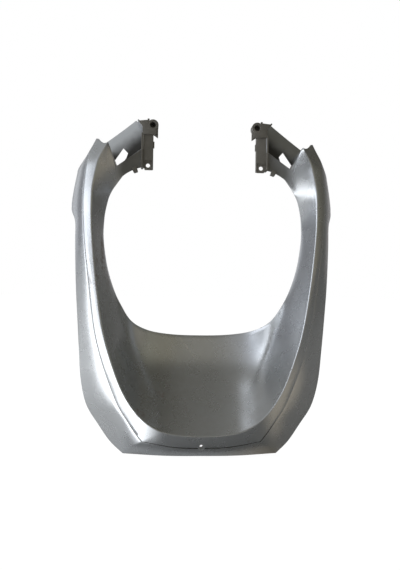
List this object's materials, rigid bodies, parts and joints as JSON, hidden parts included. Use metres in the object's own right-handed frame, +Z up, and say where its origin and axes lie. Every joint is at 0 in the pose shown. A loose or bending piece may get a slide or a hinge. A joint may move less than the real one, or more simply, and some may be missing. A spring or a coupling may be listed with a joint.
{
  "type": "scooter front panel",
  "caption": "One-piece moulded front panel of a scooter: a U-shaped shell open at the top, with a concave scoop below the opening and a lamp pocket and fixing bracket at the top of each arm.",
  "frame": {"origin": "midway between the axes of the two upper sockets, in the plane of their front faces", "axes": "+Z up the panel's height, -Y out of its front, X across it, with X = 0 its plane of symmetry"},
  "size_m": [0.413, 0.0995, 0.5285],
  "materials": {
    "painted_plastic": "silver metallic paint over moulded plastic, dusty and lightly scuffed, with thin dark overspray on the brackets and in the pockets"
  },
  "bodies": {
    "root": {"front_panel": "painted_plastic"}
  },
  "joints": []
}
